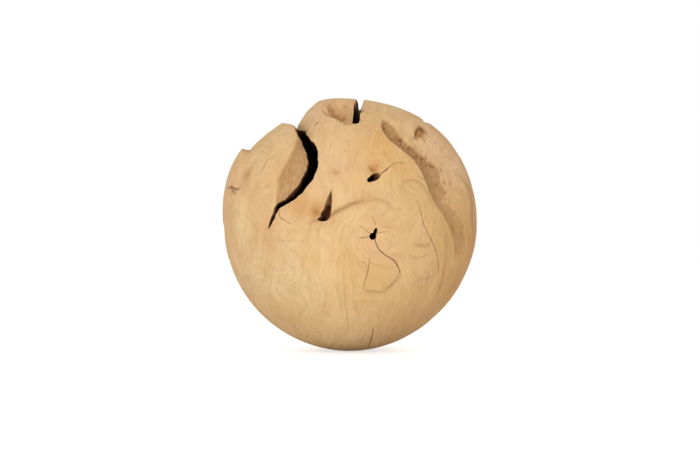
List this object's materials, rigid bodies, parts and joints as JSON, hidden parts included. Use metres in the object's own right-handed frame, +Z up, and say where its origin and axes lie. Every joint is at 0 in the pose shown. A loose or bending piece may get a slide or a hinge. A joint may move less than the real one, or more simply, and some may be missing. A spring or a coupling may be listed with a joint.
{
  "type": "wooden ball",
  "caption": "Solid natural wood ball with a deep winding cleft, a wide side trough, holes, a knot and drying cracks; sanded bare finish.",
  "frame": {"origin": "the ball's lowest point, where it touches what it lies on; the middle of the ball is 100 mm above it", "axes": "+X to the right seen from the front, +Y away from the viewer, +Z up; the cleft, the knot and the trough face the front, which is -Y"},
  "size_m": [0.202, 0.2014, 0.2005],
  "materials": {
    "wood": "bare, sanded smooth, matt"
  },
  "bodies": {
    "root": {"wooden_ball": "wood"}
  },
  "joints": []
}
